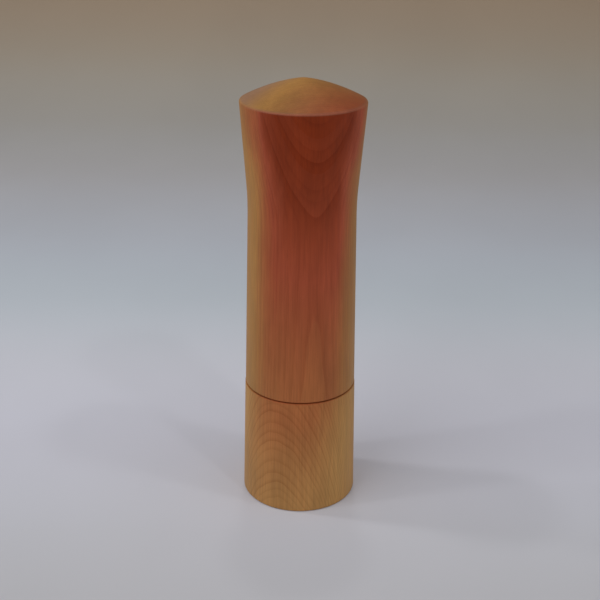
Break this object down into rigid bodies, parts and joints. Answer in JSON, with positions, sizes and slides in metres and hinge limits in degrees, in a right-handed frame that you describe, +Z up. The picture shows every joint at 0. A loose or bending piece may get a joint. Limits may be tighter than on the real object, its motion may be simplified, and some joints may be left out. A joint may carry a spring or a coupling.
{
  "type": "pepper mill",
  "caption": "Turned wooden pepper mill: a tall waisted body with a low domed top turns on a short base that holds a ceramic grinder.",
  "frame": {"origin": "centre of the foot, on the surface that the mill stands on", "axes": "+Z up along the axis that everything turns about; +X to the right of the front, +Y to the back"},
  "size_m": [0.0616, 0.0615, 0.223],
  "materials": {
    "body_wood": "oiled reddish hardwood, satin",
    "base_wood": "oiled tan hardwood, satin",
    "black_moulding": "fine-textured acetal",
    "pale_moulding": "natural acetal",
    "ceramic": "fired alumina, unglazed",
    "bright_steel": "drawn stainless steel",
    "spring_steel": "stainless spring wire and strip",
    "seal_rubber": "nitrile rubber"
  },
  "bodies": {
    "base": {"base_body": "base_wood", "grinder_sleeve": "black_moulding", "stator_burr": "ceramic", "stator_retainer": "black_moulding", "bearing_spider": "black_moulding", "thrust_washer": "pale_moulding", "sleeve_screws": "bright_steel"},
    "drive": {"drive_crown": "black_moulding", "drive_spindle": "bright_steel", "crown_washer": "bright_steel", "crown_screw": "bright_steel", "retaining_clip": "spring_steel", "upper_spring_washer": "bright_steel", "friction_ring": "seal_rubber", "grind_spring": "spring_steel"},
    "rotor": {"rotor_burr": "ceramic", "rotor_hub": "pale_moulding", "click_washer": "spring_steel", "lower_spring_washer": "bright_steel"},
    "knob": {"adjust_knob": "black_moulding"},
    "upper": {"upper_body": "body_wood", "coupling_socket": "black_moulding", "coupling_screws": "bright_steel"}
  },
  "joints": [
    {"name": "grind_turn", "type": "hinge", "parent": "base", "child": "drive", "pos_m": [0, 0, 0.05], "axis": [0, 0, 1], "continuous": true},
    {"name": "lift_off", "type": "slide", "parent": "drive", "child": "upper", "axis": [0, 0, 1], "range_m": [0, 0.09]},
    {"name": "burr_gap", "type": "slide", "parent": "drive", "child": "rotor", "axis": [0, 0, 1], "range_m": [-0.001, 0.0005], "deforming": ["grind_spring"]},
    {"name": "adjust_turn", "type": "hinge", "parent": "rotor", "child": "knob", "pos_m": [0, 0, 0.006], "axis": [0, 0, 1], "range_deg": [-360, 180]}
  ],
  "couplings": [
    {"joint": "adjust_turn", "follows": "burr_gap", "rad_per_m": 6283}
  ]
}
